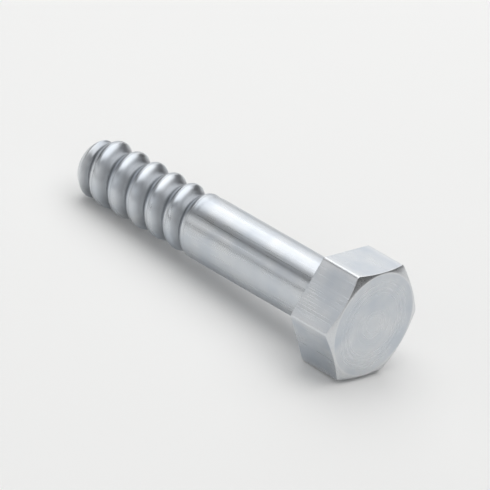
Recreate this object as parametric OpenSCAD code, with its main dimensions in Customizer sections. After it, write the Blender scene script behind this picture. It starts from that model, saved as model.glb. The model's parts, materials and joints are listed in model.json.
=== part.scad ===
// Hexagon head bolt with a plain shank and a coarse rolled thread, lying on a flat surface.
// It is drawn upright, head up and bearing face at z = 0, and is then laid down along +X.

/* [Head] */
// Width across the flats, the spanner size
head_af = 17; // [14:0.5:24]
// Height from the bearing face to the flat top
head_h = 8.2; // [5:0.1:14]
// Slope of the chamfer round the top, in degrees from the flat top
chamfer_deg = 24; // [15:1:40]
// Distance from each flat in to the circle that the chamfer leaves on top
chamfer_inset = 0.2; // [0.1:0.1:1.5]
// Distance from each flat in to the edge of the washer face
washer_face_inset = 0.8; // [0.3:0.1:1.5]
// Thickness of the washer face under the hexagon
washer_face_h = 0.4; // [0.2:0.1:1]
// Radius of the fillet between the shank and the bearing face
neck_r = 0.5; // [0.2:0.1:0.9]

/* [Shank] */
// Diameter of the plain shank
shank_d = 10; // [8:0.5:12]
// Length from the bearing face to the tip
shank_l = 50; // [36:1:120]

/* [Thread] */
// Length from the tip to where the groove has faded out
thread_l = 24; // [12:0.5:30]
// Distance from one crest to the next
thread_pitch = 3.85; // [2.5:0.05:6]
// Depth of the groove below the crests
thread_depth = 1.1; // [0.3:0.05:1.4]
// Length over which the groove fades into the shank
runout_l = 3; // [1:0.5:6]
// Distance of the crests inside the surface of the shank
crest_allowance = 0.03; // [0.01:0.01:0.1]
// Angle round the tip at which the first crest starts
thread_start_deg = 235; // [0:5:355]

/* [Tip] */
// Depth of the chamfer at the tip, measured inwards from the crests
tip_chamfer_depth = 1.3; // [0.3:0.1:2]
// Length of the chamfer at the tip, measured along the bolt
tip_chamfer_l = 1.8; // [0.5:0.1:4]

/* [Hidden] */
$fn = 96;

// Head, as seen from the side and from above
flat_r = head_af / 2;
corner_r = flat_r / cos(30);
top_r = flat_r - chamfer_inset;
washer_face_r = flat_r - washer_face_inset;
// The turned blank is wider than the hexagon, so that only the flats and the chamfer show
blank_margin = 1;
blank_r = corner_r + blank_margin;
blank_edge_z = head_h - (blank_r - top_r) * tan(chamfer_deg);

// Shank and thread
shank_r = shank_d / 2;
plain_l = shank_l - thread_l;
crest_r = shank_r - crest_allowance;
tip_r = crest_r - tip_chamfer_depth;
tip_slope = tip_chamfer_depth / tip_chamfer_l;
// A power above 1 makes the groove narrow and the crest broad and round
groove_power = 1.25;
// The thread runs this far into the shank, so that the two are one solid
seat_l = 0.6;

// Facets of the thread: columns round the axis and rings along it
columns = 48;
rings_per_pitch = 12;
rings = ceil((thread_l + seat_l) * rings_per_pitch / thread_pitch);

function ring_z(i) = i * (thread_l + seat_l) / rings;
function column_deg(j) = 360 * j / columns;

// Share of the full depth that the groove has at a height above the tip
function groove_share(z) = (1 - cos(180 * min(1, max(0, (thread_l - z) / runout_l)))) / 2;
// Form of the groove over one turn: 0 on the crest and 1 at the root
function groove_form(turn) = pow((1 - cos(360 * turn)) / 2, groove_power);
// Radius of the right-hand thread, held inside the cone of the tip
function thread_r(z, deg) =
    let (turn = z / thread_pitch - (deg - thread_start_deg) / 360)
    min(crest_r - thread_depth * groove_share(z) * groove_form(turn), tip_r + z * tip_slope);

// The bolt rests on the lower edge of one flat and on the first crest that meets the same plane
hexagon_z = shank_l + washer_face_h;
lie_slope = min([for (i = [0:rings]) (flat_r - thread_r(ring_z(i), 0)) / (hexagon_z - ring_z(i))]);
lie_deg = atan(lie_slope);
lift = flat_r * cos(lie_deg) - washer_face_h * sin(lie_deg);
head_end_x = head_h * cos(lie_deg) + top_r * sin(lie_deg);
tip_end_x = -shank_l * cos(lie_deg) - tip_r * sin(lie_deg);
middle_x = (head_end_x + tip_end_x) / 2;

module lay_down() {
    translate([-middle_x, 0, lift])
        rotate([0, 90 - lie_deg, 0])
            children();
}

// Half outline of plain shank, neck, washer face and head, turned about the axis
module turned_blank() {
    neck = [for (a = [0:15:90]) [shank_r + neck_r * (1 - cos(a)), neck_r * (sin(a) - 1)]];
    rotate_extrude()
        polygon(concat(
            [[0, -plain_l], [shank_r, -plain_l]],
            neck,
            [[washer_face_r, 0], [washer_face_r, washer_face_h], [blank_r, washer_face_h]],
            [[blank_r, blank_edge_z], [top_r, head_h], [0, head_h]]
        ));
}

// Hexagon that trims the blank, with one flat facing +X
module hexagon_bar() {
    translate([0, 0, -shank_l])
        rotate(30)
            cylinder(r = corner_r, h = shank_l + head_h + blank_margin, $fn = 6);
}

// Threaded end with its chamfered tip at z = 0, as a grid of points on the helical surface
module rolled_thread() {
    points = [
        for (i = [0:rings], j = [0:columns - 1])
            let (r = thread_r(ring_z(i), column_deg(j)))
            [r * cos(column_deg(j)), r * sin(column_deg(j)), ring_z(i)]
    ];
    function at(i, j) = i * columns + j % columns;
    // Each cell is split along the rise of the thread
    cells = [
        for (i = [0:rings - 1], j = [0:columns - 1])
            each [
                [at(i, j), at(i + 1, j), at(i + 1, j + 1)],
                [at(i, j), at(i + 1, j + 1), at(i, j + 1)]
            ]
    ];
    tip = [for (j = [0:columns - 1]) at(0, j)];
    seat = [for (j = [columns - 1:-1:0]) at(rings, j)];
    polyhedron(points, concat(cells, [tip, seat]));
}

module bolt() {
    color("silver")
        lay_down() {
            intersection() {
                turned_blank();
                hexagon_bar();
            }
            translate([0, 0, -shank_l])
                rolled_thread();
        }
}

bolt();
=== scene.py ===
import json
from math import atan2, cos, pi, radians, sin, sqrt, tan

import bmesh
import bpy
from mathutils import Matrix, Vector


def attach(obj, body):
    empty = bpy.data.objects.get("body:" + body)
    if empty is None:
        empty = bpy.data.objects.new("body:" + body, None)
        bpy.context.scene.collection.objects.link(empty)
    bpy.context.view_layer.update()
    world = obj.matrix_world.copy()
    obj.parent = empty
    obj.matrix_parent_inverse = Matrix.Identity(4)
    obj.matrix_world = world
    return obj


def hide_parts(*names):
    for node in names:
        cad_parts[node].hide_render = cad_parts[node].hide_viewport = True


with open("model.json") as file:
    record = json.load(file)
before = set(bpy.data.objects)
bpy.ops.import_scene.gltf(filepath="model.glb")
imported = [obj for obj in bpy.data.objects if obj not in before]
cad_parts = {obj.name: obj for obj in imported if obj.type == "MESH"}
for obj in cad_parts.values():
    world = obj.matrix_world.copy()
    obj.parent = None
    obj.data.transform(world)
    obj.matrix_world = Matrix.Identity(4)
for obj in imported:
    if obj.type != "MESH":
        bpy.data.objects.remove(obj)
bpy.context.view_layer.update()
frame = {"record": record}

# Hexagon bolt: one piece of medium-carbon steel. The head is upset cold from wire under a round die,
# so shank, neck fillet, washer face and head are one forging. It is built upright, with the bearing
# face at z = 0, the head up and the tip down, and is laid on the table at the end.
mm = 0.001
SHANK_R = 5.0 * mm
SHANK_L = 50.0 * mm
THREAD_L = 24.0 * mm
PLAIN_L = SHANK_L - THREAD_L
CREST_ALLOWANCE = 0.03 * mm
TIP_CHAMFER_DEPTH = 1.3 * mm
TIP_CHAMFER_L = 1.8 * mm
TIP_R = SHANK_R - CREST_ALLOWANCE - TIP_CHAMFER_DEPTH
NECK_R = 0.5 * mm
NECK_STEPS = 6
WASHER_FACE_R = 7.7 * mm
WASHER_FACE_H = 0.4 * mm
HEAD_H = 8.2 * mm
FLAT_R = 8.5 * mm
CORNER_R = FLAT_R / cos(radians(30))
CHAMFER = radians(24)
CHAMFER_INSET = 0.2 * mm
TOP_R = FLAT_R - CHAMFER_INSET
TRIMMED_OFF = 1.0 * mm
BLANK_R = CORNER_R + TRIMMED_OFF
COLUMNS = 192

bpy.ops.object.select_all(action="DESELECT")
bpy.ops.mesh.primitive_circle_add(vertices=COLUMNS, radius=TIP_R, location=(0, 0, -SHANK_L))
bolt = bpy.context.object
bolt.name = "hex_bolt"
bpy.ops.object.transform_apply(location=True)

neck_angles = [radians(90) * step / NECK_STEPS for step in range(NECK_STEPS + 1)]
outline = [(SHANK_R, -PLAIN_L)]
outline += [(SHANK_R + NECK_R * (1 - cos(a)), NECK_R * (sin(a) - 1)) for a in neck_angles]
outline += [(WASHER_FACE_R, 0), (WASHER_FACE_R, WASHER_FACE_H), (BLANK_R, WASHER_FACE_H)]
outline += [(BLANK_R, HEAD_H - (BLANK_R - TOP_R) * tan(CHAMFER)), (TOP_R, HEAD_H)]

bpy.ops.object.mode_set(mode="EDIT")
bpy.ops.mesh.select_all(action="SELECT")
last_r = TIP_R
last_z = -SHANK_L
for r, z in outline:
    bpy.ops.mesh.extrude_region_move(TRANSFORM_OT_translate={"value": (0, 0, z - last_z)})
    bpy.ops.transform.resize(value=(r / last_r, r / last_r, 1), center_override=(0, 0, z))
    last_r = r
    last_z = z
bpy.ops.mesh.select_all(action="SELECT")
bpy.ops.mesh.fill_holes(sides=0)
bpy.ops.mesh.select_all(action="SELECT")
bpy.ops.mesh.normals_make_consistent(inside=False)
bpy.ops.object.mode_set(mode="OBJECT")


def put_in_order(piece):
    """Sorts points and faces by place. Blender's tools leave them in another order each run, and what is
    made from them would then differ in its last digits."""
    mesh = piece.data
    points = [tuple(vertex.co) for vertex in mesh.vertices]
    order = sorted(range(len(points)), key=lambda old: points[old])
    new_number = {old: new for new, old in enumerate(order)}
    faces = []
    for face in mesh.polygons:
        corners = [new_number[old] for old in face.vertices]
        first = corners.index(min(corners))
        faces.append(corners[first:] + corners[:first])
    mesh.clear_geometry()
    mesh.from_pydata([points[old] for old in order], [], sorted(faces))


put_in_order(bolt)

# A trimming die shears the round head to six flats, and the chamfer is left as an arc on each of them.
# Sheared corners are slightly round.
CORNER_ROUND = 0.35 * mm
CORNER_STEPS = 5
DIE_SPARE = 2.0 * mm
DIE_H = SHANK_L + HEAD_H + 2 * DIE_SPARE

bpy.ops.object.select_all(action="DESELECT")
bpy.ops.mesh.primitive_cylinder_add(vertices=6, radius=CORNER_R, depth=DIE_H,
                                    location=(0, 0, HEAD_H + DIE_SPARE - DIE_H / 2))
die = bpy.context.object
bpy.ops.object.transform_apply(location=True)
bpy.ops.object.mode_set(mode="EDIT")
bpy.ops.mesh.select_mode(type="EDGE")
bpy.ops.mesh.select_all(action="DESELECT")
die_mesh = bmesh.from_edit_mesh(die.data)
for edge in die_mesh.edges:
    edge.select_set(abs(edge.verts[0].co.z - edge.verts[1].co.z) > DIE_H / 2)
bmesh.update_edit_mesh(die.data)
bpy.ops.mesh.bevel(offset=CORNER_ROUND, segments=CORNER_STEPS, affect="EDGES")
bpy.ops.object.mode_set(mode="OBJECT")

bpy.ops.object.select_all(action="DESELECT")
bolt.select_set(True)
bpy.context.view_layer.objects.active = bolt
trim = bolt.modifiers.new("trim", "BOOLEAN")
trim.operation = "INTERSECT"
trim.solver = "EXACT"
trim.object = die
bpy.ops.object.modifier_apply(modifier=trim.name)
bpy.data.objects.remove(die)
put_in_order(bolt)

# Tumbling before the plating leaves no sharp edge on head, washer face or tip. The small rounds are
# what catches the light along the edges.
EDGE_ROUND = 0.1 * mm
EDGE_STEPS = 3
SHARP_FROM = radians(20)
tumble = bolt.modifiers.new("tumble", "BEVEL")
tumble.width = EDGE_ROUND
tumble.segments = EDGE_STEPS
tumble.limit_method = "ANGLE"
tumble.angle_limit = SHARP_FROM
bpy.ops.object.modifier_apply(modifier=tumble.name)
put_in_order(bolt)

# The thread is rolled, not cut: two dies press a right-hand groove into the blank. So the crests are
# round, the chamfered tip leads in, and the groove fades out into the plain shank.
PITCH = 3.85 * mm
GROOVE_DEPTH = 1.1 * mm
GROOVE_POWER = 1.25
RUNOUT_L = 3.0 * mm
THREAD_START = radians(235)
CHAMFER_BLEND = 0.3 * mm
TIP_EDGE_H = 1.5 * EDGE_ROUND
RING_CUTS = 14


def rolled_radius(above_tip, angle):
    """Radius of the thread at a height above the tip, held inside the cone of the tip."""
    left = min(1, max(0, (THREAD_L - above_tip) / RUNOUT_L))
    share = (1 - cos(pi * left)) / 2
    turn = above_tip / PITCH - (angle - THREAD_START) / (2 * pi)
    groove = ((1 - cos(2 * pi * turn)) / 2) ** GROOVE_POWER
    thread = SHANK_R - share * (CREST_ALLOWANCE + GROOVE_DEPTH * groove)
    cone = TIP_R + above_tip * TIP_CHAMFER_DEPTH / TIP_CHAMFER_L
    near = max(0, CHAMFER_BLEND - abs(thread - cone)) / CHAMFER_BLEND
    return min(thread, cone) - near ** 2 * CHAMFER_BLEND / 4


# One cut makes at most 100 rings, so the blank is cut twice: first into lengths, then each of them again
bpy.ops.object.mode_set(mode="EDIT")
thread_blank = bmesh.from_edit_mesh(bolt.data)
for shortest in (THREAD_L / 2, THREAD_L / (2 * RING_CUTS)):
    bpy.ops.mesh.select_all(action="DESELECT")
    for edge in thread_blank.edges:
        low, high = sorted(vertex.co.z for vertex in edge.verts)
        edge.select_set(high - low > shortest and high < -PLAIN_L + EDGE_ROUND)
    bmesh.update_edit_mesh(bolt.data)
    bpy.ops.mesh.subdivide(number_cuts=RING_CUTS)
    thread_blank = bmesh.from_edit_mesh(bolt.data)
bpy.ops.object.mode_set(mode="OBJECT")
for vertex in bolt.data.vertices:
    x, y, z = vertex.co
    above_tip = z + SHANK_L
    if TIP_EDGE_H < above_tip < THREAD_L:
        pressed = rolled_radius(above_tip, atan2(y, x)) / sqrt(x * x + y * y)
        vertex.co = x * pressed, y * pressed, z

# Rolling draws the outer metal past the middle, so the sheared end of the wire is left slightly dished
# inside a flat rim.
DISH_RIM = 0.5 * mm
DISH_STEPS = ((0.5 * mm, 0.12 * mm), (0.7 * mm, 0.12 * mm), (0.9 * mm, 0.06 * mm))
FACES_DOWN = -0.99
bpy.ops.object.mode_set(mode="EDIT")
bpy.ops.mesh.select_all(action="DESELECT")
end_mesh = bmesh.from_edit_mesh(bolt.data)
for face in end_mesh.faces:
    at_end = face.calc_center_median().z < EDGE_ROUND / 2 - SHANK_L
    face.select_set(at_end and face.normal.z < FACES_DOWN)
bmesh.update_edit_mesh(bolt.data)
bpy.ops.mesh.inset(thickness=DISH_RIM)
for width, depth in DISH_STEPS:
    bpy.ops.mesh.inset(thickness=width, depth=-depth)
bpy.ops.object.mode_set(mode="OBJECT")
put_in_order(bolt)

# Flat faces stay flat up to their round edges. Then the bolt is laid down, with its bearing face where
# the frame has it.
CREASE_FROM = radians(50)
bpy.ops.object.shade_smooth_by_angle(angle=CREASE_FROM)
flatten = bolt.modifiers.new("flatten", "WEIGHTED_NORMAL")
flatten.keep_sharp = True
bpy.ops.object.modifier_apply(modifier=flatten.name)

bearing = next(m for m in frame["record"]["mounts"] if m["name"] == "bearing_face")
seat = Vector(bearing["pos_m"])
to_head = -Vector(bearing["axis"]).normalized()
lie = radians(90) - atan2(to_head.z, to_head.x)
bolt.location = seat
bolt.rotation_euler = (0, lie, 0)
bpy.ops.object.transform_apply(location=True, rotation=True)


def linear(hex_colour):
    """Linear RGBA of an sRGB hex colour."""
    parts = [int(hex_colour[i:i + 2], 16) / 255 for i in (1, 3, 5)]
    return [p / 12.92 if p <= 0.04045 else ((p + 0.055) / 1.055) ** 2.4 for p in parts] + [1.0]


def add_node(tree, kind, links=None, **settings):
    """Adds a shader node. Settings are its properties. Links are its inputs, by name or number: a value,
    an output of another node, or that node itself for its first output."""
    made = tree.nodes.new("ShaderNode" + kind)
    for name, value in settings.items():
        setattr(made, name, value)
    for socket, value in (links or {}).items():
        if isinstance(value, bpy.types.Node):
            value = value.outputs[0]
        if isinstance(value, bpy.types.NodeSocket):
            tree.links.new(value, made.inputs[socket])
        else:
            made.inputs[socket].default_value = value
    return made


# Bright zinc plating with a clear passivation, on drawn and rolled steel. The eye sees a cool silver
# satin: faint cloudy tints, fine lines along the shank and the flats, rings on top, a seam along the
# rolled crests, roots darkened with painted shade, and a chamfer and corners that are burnished by
# tumbling.
ZINC = "#D2D5D8"
ZINC_BLUE = "#C4CAD1"
# Colour of the painted shade in the thread roots, and of the duller seam and tip end
ZINC_SHADE_AND_DULL = "#9A9EA3"
ZINC_BRIGHT = "#E3E4E5"
steel = bpy.data.materials.new("zinc_plated_steel")
steel.use_nodes = True
tree = steel.node_tree
tree.nodes.clear()

# Places on the bolt in millimetres, upright as it was built, and the zones of its surface: where each
# of them starts and where it has its full share
THREAD_FROM = 1.0 - PLAIN_L / mm
THREAD_FULL = -1.5 - PLAIN_L / mm
OFF_TIP_FROM = 0.6 - SHANK_L / mm
OFF_TIP_FULL = 2.0 - SHANK_L / mm
END_FROM = TIP_R / mm
END_FULL = TIP_R / mm - 0.1
HEAD_FROM = WASHER_FACE_H / mm - 0.1
HEAD_FULL = WASHER_FACE_H / mm + 0.1
TOP_FROM = HEAD_H / mm - 0.12
TOP_FULL = HEAD_H / mm - 0.04
place = add_node(tree, "TexCoord").outputs["Object"]
on_bolt = add_node(tree, "Mapping", {"Vector": place, "Location": seat, "Rotation": (0, lie, 0),
                                     "Scale": (mm, mm, mm)}, vector_type="TEXTURE")
on_axes = add_node(tree, "SeparateXYZ", {0: on_bolt})
height = on_axes.outputs["Z"]
off_axis = add_node(tree, "VectorMath", {0: on_bolt, 1: (1, 1, 0)}, operation="MULTIPLY")
radius = add_node(tree, "VectorMath", {0: off_axis}, operation="LENGTH").outputs["Value"]
threaded = add_node(tree, "MapRange", {"Value": height, "From Min": THREAD_FROM, "From Max": THREAD_FULL},
                    interpolation_type="SMOOTHSTEP")
off_tip = add_node(tree, "MapRange", {"Value": height, "From Min": OFF_TIP_FROM, "From Max": OFF_TIP_FULL})
in_thread = add_node(tree, "Math", {0: threaded, 1: off_tip}, operation="MULTIPLY")
near_axis = add_node(tree, "MapRange", {"Value": radius, "From Min": END_FROM, "From Max": END_FULL})
on_end = add_node(tree, "Math", {0: near_axis, 1: threaded}, operation="MULTIPLY")
on_head = add_node(tree, "MapRange", {"Value": height, "From Min": HEAD_FROM, "From Max": HEAD_FULL})
on_top = add_node(tree, "MapRange", {"Value": height, "From Min": TOP_FROM, "From Max": TOP_FULL})

# Lines along the shank from drawing the wire, and along the flats from trimming. These and the lines
# below are drawn coarser than the real ones, so that they show.
LINE_W = 0.154
LINE_L = 25.0
line_scale = (1 / LINE_W, 1 / LINE_W, 1 / LINE_L)
drawn_place = add_node(tree, "Mapping", {"Vector": on_bolt, "Scale": line_scale})
drawn = add_node(tree, "TexNoise", {"Vector": drawn_place, "Scale": 1.0})

# Lines round the thread from the dies: a noise that is read on a circle, which closes once per turn
DIE_LINE_W = 0.25
DIE_LINE_L = 7.0
CIRCLE_R = PITCH / mm / (2 * pi * DIE_LINE_W)
round_bolt = add_node(tree, "Math", {0: on_axes.outputs["Y"], 1: on_axes.outputs["X"]},
                      operation="ARCTAN2")
climb = add_node(tree, "Math", {0: height, 1: 2 * pi * mm / PITCH}, operation="MULTIPLY")
phase = add_node(tree, "Math", {0: climb, 1: round_bolt}, operation="SUBTRACT")
turn_x = add_node(tree, "Math", {0: phase}, operation="COSINE")
turn_y = add_node(tree, "Math", {0: phase}, operation="SINE")
turn_place = add_node(tree, "CombineXYZ", {"X": turn_x, "Y": turn_y})
turn_wide = add_node(tree, "VectorMath", {0: turn_place, "Scale": CIRCLE_R}, operation="SCALE")
turn_slow = add_node(tree, "VectorMath", {0: on_bolt, "Scale": 1 / DIE_LINE_L}, operation="SCALE")
rolled_place = add_node(tree, "VectorMath", {0: turn_wide, 1: turn_slow}, operation="ADD")
rolled = add_node(tree, "TexNoise", {"Vector": rolled_place, "Scale": 1.0})

# Rings on top, pressed there by the turned face of the heading die
RING_W = 0.4
ringed = add_node(tree, "TexNoise", {"W": radius, "Scale": 1 / RING_W}, noise_dimensions="1D")

# Lines across the end of the tip, where the wire was sheared off
SHEAR_LINE_W = 0.2
SHEAR_LINE_L = 4.0
shear_scale = (1 / SHEAR_LINE_L, 1 / SHEAR_LINE_W, 1 / SHEAR_LINE_L)
shear_place = add_node(tree, "Mapping", {"Vector": on_bolt, "Scale": shear_scale})
sheared = add_node(tree, "TexNoise", {"Vector": shear_place, "Scale": 1.0})

side_lines = add_node(tree, "Mix", {"Factor": threaded, "A": drawn, "B": rolled})
head_lines = add_node(tree, "Mix", {"Factor": on_top, "A": side_lines, "B": ringed})
lines = add_node(tree, "Mix", {"Factor": on_end, "A": head_lines, "B": sheared})

# Fine seam along the crest, where the metal that was pressed out of both grooves met
SEAM_W = 0.2
SEAM_FROM = cos(pi * SEAM_W * mm / PITCH)
CREST_PHASE = -THREAD_START - 2 * pi * SHANK_L / PITCH
from_crest = add_node(tree, "Math", {0: phase, 1: CREST_PHASE}, operation="SUBTRACT")
crest_near = add_node(tree, "Math", {0: from_crest}, operation="COSINE")
seam_line = add_node(tree, "MapRange", {"Value": crest_near, "From Min": SEAM_FROM, "From Max": 1.0},
                     interpolation_type="SMOOTHSTEP")
seam = add_node(tree, "Math", {0: seam_line, 1: in_thread}, operation="MULTIPLY")

# Plating grain, drawn coarser than the real one so that it shows, and clouds of the passivation
GRAIN_W = 0.154
CLOUD_W = 5.0
CLOUD_FROM = 0.35
CLOUD_FULL = 0.65
grain = add_node(tree, "TexNoise", {"Vector": on_bolt, "Scale": 1 / GRAIN_W})
cloud = add_node(tree, "TexNoise", {"Vector": on_bolt, "Scale": 1 / CLOUD_W})
clouded = add_node(tree, "MapRange", {"Value": cloud, "From Min": CLOUD_FROM, "From Max": CLOUD_FULL})

# Small dents on the head from tumbling
DENT_GAP = 2.2
DENT_R = 0.24
DENT_FLOOR_R = 0.07
dent_far = add_node(tree, "TexVoronoi", {"Vector": on_bolt, "Scale": 1 / DENT_GAP})
dent = add_node(tree, "MapRange", {"Value": dent_far, "From Min": DENT_R / DENT_GAP,
                                   "From Max": DENT_FLOOR_R / DENT_GAP}, interpolation_type="SMOOTHSTEP")
dents = add_node(tree, "Math", {0: dent, 1: on_head}, operation="MULTIPLY")

# Painted shade in the roots of the thread, where shade falls in the groove; the seam and the end of the
# tip are duller metal, less dark
ROOT_R = (SHANK_R - GROOVE_DEPTH) / mm
ROOT_FROM = ROOT_R + 0.85
ROOT_FULL = ROOT_R + 0.05
SEAM_DULL = 0.4
END_DULL = 0.4
root_depth = add_node(tree, "MapRange", {"Value": radius, "From Min": ROOT_FROM, "From Max": ROOT_FULL})
rooted = add_node(tree, "Math", {0: root_depth, 1: in_thread}, operation="MULTIPLY")
seam_dull = add_node(tree, "Math", {0: seam, 1: SEAM_DULL}, operation="MULTIPLY")
thread_shade_and_dull = add_node(tree, "Math", {0: rooted, 1: seam_dull}, operation="MAXIMUM")
# Painted shade in the roots, joined with the duller seam and tip end
shade_and_dull = add_node(tree, "Math", {0: on_end, 1: END_DULL, 2: thread_shade_and_dull}, operation="MULTIPLY_ADD")

# The corners and the chamfer of the head are burnished, in patches as coarse as the grain
CORNER_FROM = CORNER_R / mm - 0.7
CORNER_FULL = CORNER_R / mm - 0.07
CONE_TOP = (TOP_R * tan(CHAMFER) + HEAD_H) / mm
CONE_FROM = CONE_TOP - 0.12
CONE_FULL = CONE_TOP - 0.02
NOISE_LOW = 0.3
NOISE_HIGH = 0.7
PATCH_LEAST = 0.45
PATCH_MOST = 0.85
corner = add_node(tree, "MapRange", {"Value": radius, "From Min": CORNER_FROM, "From Max": CORNER_FULL},
                  interpolation_type="SMOOTHSTEP")
rubbed_corner = add_node(tree, "Math", {0: corner, 1: grain}, operation="MULTIPLY")
cone_rise = add_node(tree, "Math", {0: radius, 1: tan(CHAMFER), 2: height}, operation="MULTIPLY_ADD")
on_chamfer = add_node(tree, "MapRange", {"Value": cone_rise, "From Min": CONE_FROM, "From Max": CONE_FULL},
                      interpolation_type="SMOOTHSTEP")
patchy = add_node(tree, "MapRange", {"Value": grain, "From Min": NOISE_LOW, "From Max": NOISE_HIGH,
                                     "To Min": PATCH_LEAST, "To Max": PATCH_MOST})
rubbed_chamfer = add_node(tree, "Math", {0: on_chamfer, 1: patchy}, operation="MULTIPLY")
rubbed = add_node(tree, "Math", {0: rubbed_corner, 1: rubbed_chamfer}, operation="MAXIMUM")

# Colour. Inputs 6 and 7 and output 2 of a colour mix are its two colours and its result
tinted = add_node(tree, "Mix", {0: clouded, 6: linear(ZINC), 7: linear(ZINC_BLUE)}, data_type="RGBA")
# Painted shade darkens the thread roots; the seam and the tip end are duller metal
shaded_and_dulled = add_node(tree, "Mix", {0: shade_and_dull, 6: tinted.outputs[2], 7: linear(ZINC_SHADE_AND_DULL)}, data_type="RGBA")
bright = add_node(tree, "Mix", {0: rubbed, 6: shaded_and_dulled.outputs[2], 7: linear(ZINC_BRIGHT)}, data_type="RGBA")

# Roughness: satin, and a little more in the roots and under the clouds
ROUGH_LEAST = 0.23
ROUGH_MOST = 0.36
ROUGH_ROOT = 0.12
ROUGH_CLOUD = 0.05
rough_lines = add_node(tree, "MapRange", {"Value": lines, "From Min": NOISE_LOW, "From Max": NOISE_HIGH,
                                          "To Min": ROUGH_LEAST, "To Max": ROUGH_MOST})
rough_root = add_node(tree, "Math", {0: rooted, 1: ROUGH_ROOT, 2: rough_lines}, operation="MULTIPLY_ADD")
rough = add_node(tree, "Math", {0: clouded, 1: ROUGH_CLOUD, 2: rough_root}, operation="MULTIPLY_ADD")

# Relief: dents, seam, lines and grain, each with its depth and the share of it that shows. The lines show
# more on the head and on the end of the tip than on shank and thread.
DENT_DEPTH = 0.015 * mm
DENT_SHARE = 0.5
SEAM_DEPTH = 0.03 * mm
SEAM_SHARE = 0.4
LINE_DEPTH = 0.02 * mm
LINE_SHARE = 0.13
COARSE_SHARE = 0.38
GRAIN_DEPTH = 0.01 * mm
GRAIN_SHARE = 0.4
coarse = add_node(tree, "Math", {0: on_head, 1: on_end}, operation="MAXIMUM")
line_share = add_node(tree, "MapRange", {"Value": coarse, "To Min": LINE_SHARE, "To Max": COARSE_SHARE})
dented = add_node(tree, "Bump", {"Height": dents, "Strength": DENT_SHARE, "Distance": DENT_DEPTH},
                  invert=True)
seamed = add_node(tree, "Bump", {"Height": seam, "Strength": SEAM_SHARE, "Distance": SEAM_DEPTH,
                                 "Normal": dented}, invert=True)
lined = add_node(tree, "Bump", {"Height": lines, "Strength": line_share, "Distance": LINE_DEPTH,
                                "Normal": seamed})
grained = add_node(tree, "Bump", {"Height": grain, "Strength": GRAIN_SHARE, "Distance": GRAIN_DEPTH,
                                  "Normal": lined})
shader = add_node(tree, "BsdfPrincipled", {"Base Color": bright.outputs[2], "Metallic": 1.0,
                                           "Roughness": rough, "Normal": grained})
add_node(tree, "OutputMaterial", {"Surface": shader})
bolt.data.materials.clear()
bolt.data.materials.append(steel)
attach(bolt, "root")
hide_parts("bolt")

# Table: a sheet of matt white card, larger than any view of the bolt. What the camera and the metal see
# of it turns to plain white away from the bolt and its shadow.
TABLE_SIZE = 4.0
CARD = "#F5F5F4"
GLOW_NEAR = 0.05
GLOW_FAR = 0.8
GLOW_FROM = 0.1
GLOW_FULL = 0.6
bpy.ops.object.select_all(action="DESELECT")
bpy.ops.mesh.primitive_plane_add(size=TABLE_SIZE)
table = bpy.context.object
table.name = "table"
card = bpy.data.materials.new("matt_white_card")
card.use_nodes = True
tree = card.node_tree
tree.nodes.clear()
path = add_node(tree, "LightPath")
in_view = add_node(tree, "Math", {0: path.outputs["Is Camera Ray"], 1: path.outputs["Is Glossy Ray"]},
                   operation="MAXIMUM")
seen = add_node(tree, "Math", {0: in_view, 1: path.outputs["Is Transmission Ray"]}, operation="MAXIMUM")
on_card = add_node(tree, "TexCoord").outputs["Object"]
far = add_node(tree, "VectorMath", {0: on_card}, operation="LENGTH").outputs["Value"]
glow = add_node(tree, "MapRange", {"Value": far, "From Min": GLOW_FROM, "From Max": GLOW_FULL,
                                   "To Min": GLOW_NEAR, "To Max": GLOW_FAR})
glow_seen = add_node(tree, "Math", {0: seen, 1: glow}, operation="MULTIPLY")
lit = add_node(tree, "BsdfDiffuse", {"Color": linear(CARD)})
white = add_node(tree, "Emission", {"Strength": 1.0})
surface = add_node(tree, "MixShader", {0: glow_seen, 1: lit, 2: white})
add_node(tree, "OutputMaterial", {"Surface": surface})
table.data.materials.append(card)

# Studio light: a pale backdrop at the horizon, a dark room above it that draws dark lines on the metal,
# a large soft light overhead, two softboxes on the left and a dimmer one on the right.
BACKDROP = 0.8
BACKDROP_TOP = sin(radians(2))
ROOM = 0.12
ROOM_FROM = sin(radians(8))
CEILING = 0.45
CEILING_FROM = sin(radians(30))
world = bpy.data.worlds.new("studio")
bpy.context.scene.world = world
world.use_nodes = True
tree = world.node_tree
tree.nodes.clear()
direction = add_node(tree, "TexCoord").outputs["Generated"]
rise = add_node(tree, "SeparateXYZ", {0: direction}).outputs["Z"]
backdrop = add_node(tree, "MapRange", {"Value": rise, "From Min": BACKDROP_TOP, "From Max": ROOM_FROM,
                                       "To Min": BACKDROP, "To Max": ROOM})
ceiling = add_node(tree, "MapRange", {"Value": rise, "From Min": CEILING_FROM, "From Max": 1.0,
                                      "To Min": ROOM, "To Max": CEILING})
room = add_node(tree, "Math", {0: backdrop, 1: ceiling}, operation="MAXIMUM")
background = add_node(tree, "Background", {"Strength": room})
add_node(tree, "OutputWorld", {"Surface": background})


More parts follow.
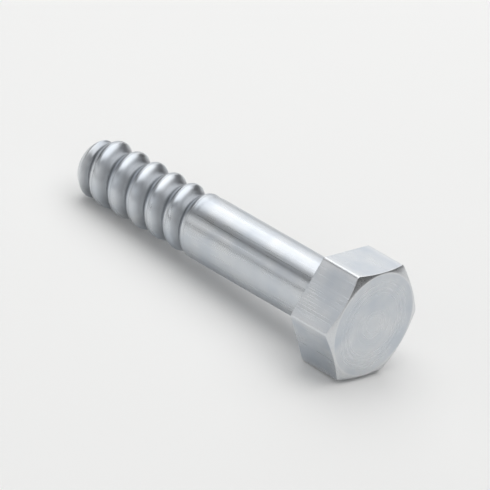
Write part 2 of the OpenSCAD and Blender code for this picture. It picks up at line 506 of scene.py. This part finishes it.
def softbox(name, place, size, radiance):
    """An area lamp of a size in metres that faces the bolt, as bright as a surface of this radiance."""
    lamp = bpy.data.lights.new(name, "AREA")
    lamp.shape = "RECTANGLE"
    lamp.size, lamp.size_y = size
    lamp.energy = radiance * pi * size[0] * size[1]
    made = bpy.data.objects.new(name, lamp)
    bpy.context.collection.objects.link(made)
    made.location = place
    made.rotation_euler = (-Vector(place)).to_track_quat("-Z", "Y").to_euler()
    made.visible_camera = False


softbox("key_softbox", place=(-0.25, 0.28, 0.2), size=(0.3, 0.25), radiance=1.0)
softbox("fill_softbox", place=(-0.15, -0.36, 0.16), size=(0.6, 0.16), radiance=0.8)
softbox("right_softbox", place=(0.26, -0.32, 0.2), size=(0.5, 0.25), radiance=0.6)
softbox("top_softbox", place=(-0.05, 0.08, 0.5), size=(0.8, 0.8), radiance=1.38)

# Camera: in the isometric direction of the drawing, straight before the flat that faces it. It stands
# so far off that the view is almost a parallel one, as drawn.
FRAME_PX = 490
PX_PER_MM = 6.81
HEXAGON_PX = (335.8, 302.7)
AXIS_FALL = radians(30)
ISOMETRIC = atan2(1, sqrt(2))
FLAT_CLIMB = radians(30)
CAMERA_FAR = 2.5

bolt_up = to_head.cross(Vector((0, 1, 0)))
flat_normal = Vector((0, -cos(FLAT_CLIMB), 0)) + bolt_up * sin(FLAT_CLIMB)
to_camera = to_head * sin(ISOMETRIC) + flat_normal * cos(ISOMETRIC)
along = (to_head - to_camera * to_head.dot(to_camera)).normalized()
across = to_camera.cross(along)
right = along * cos(AXIS_FALL) + across * sin(AXIS_FALL)
up = across * cos(AXIS_FALL) - along * sin(AXIS_FALL)
px = mm / PX_PER_MM
hexagon_seat = seat + to_head * WASHER_FACE_H
off_x, off_y = [(pixel - FRAME_PX / 2) * px for pixel in HEXAGON_PX]
aim = hexagon_seat - right * off_x + up * off_y
camera_data = bpy.data.cameras.new("camera")
camera_data.lens = camera_data.sensor_width * CAMERA_FAR / (FRAME_PX * px)
camera = bpy.data.objects.new("camera", camera_data)
bpy.context.collection.objects.link(camera)
turned = Matrix((right, up, to_camera)).transposed().to_4x4()
camera.matrix_world = Matrix.Translation(aim + to_camera * CAMERA_FAR) @ turned
bpy.context.scene.camera = camera
bpy.context.scene.view_settings.view_transform = "Standard"
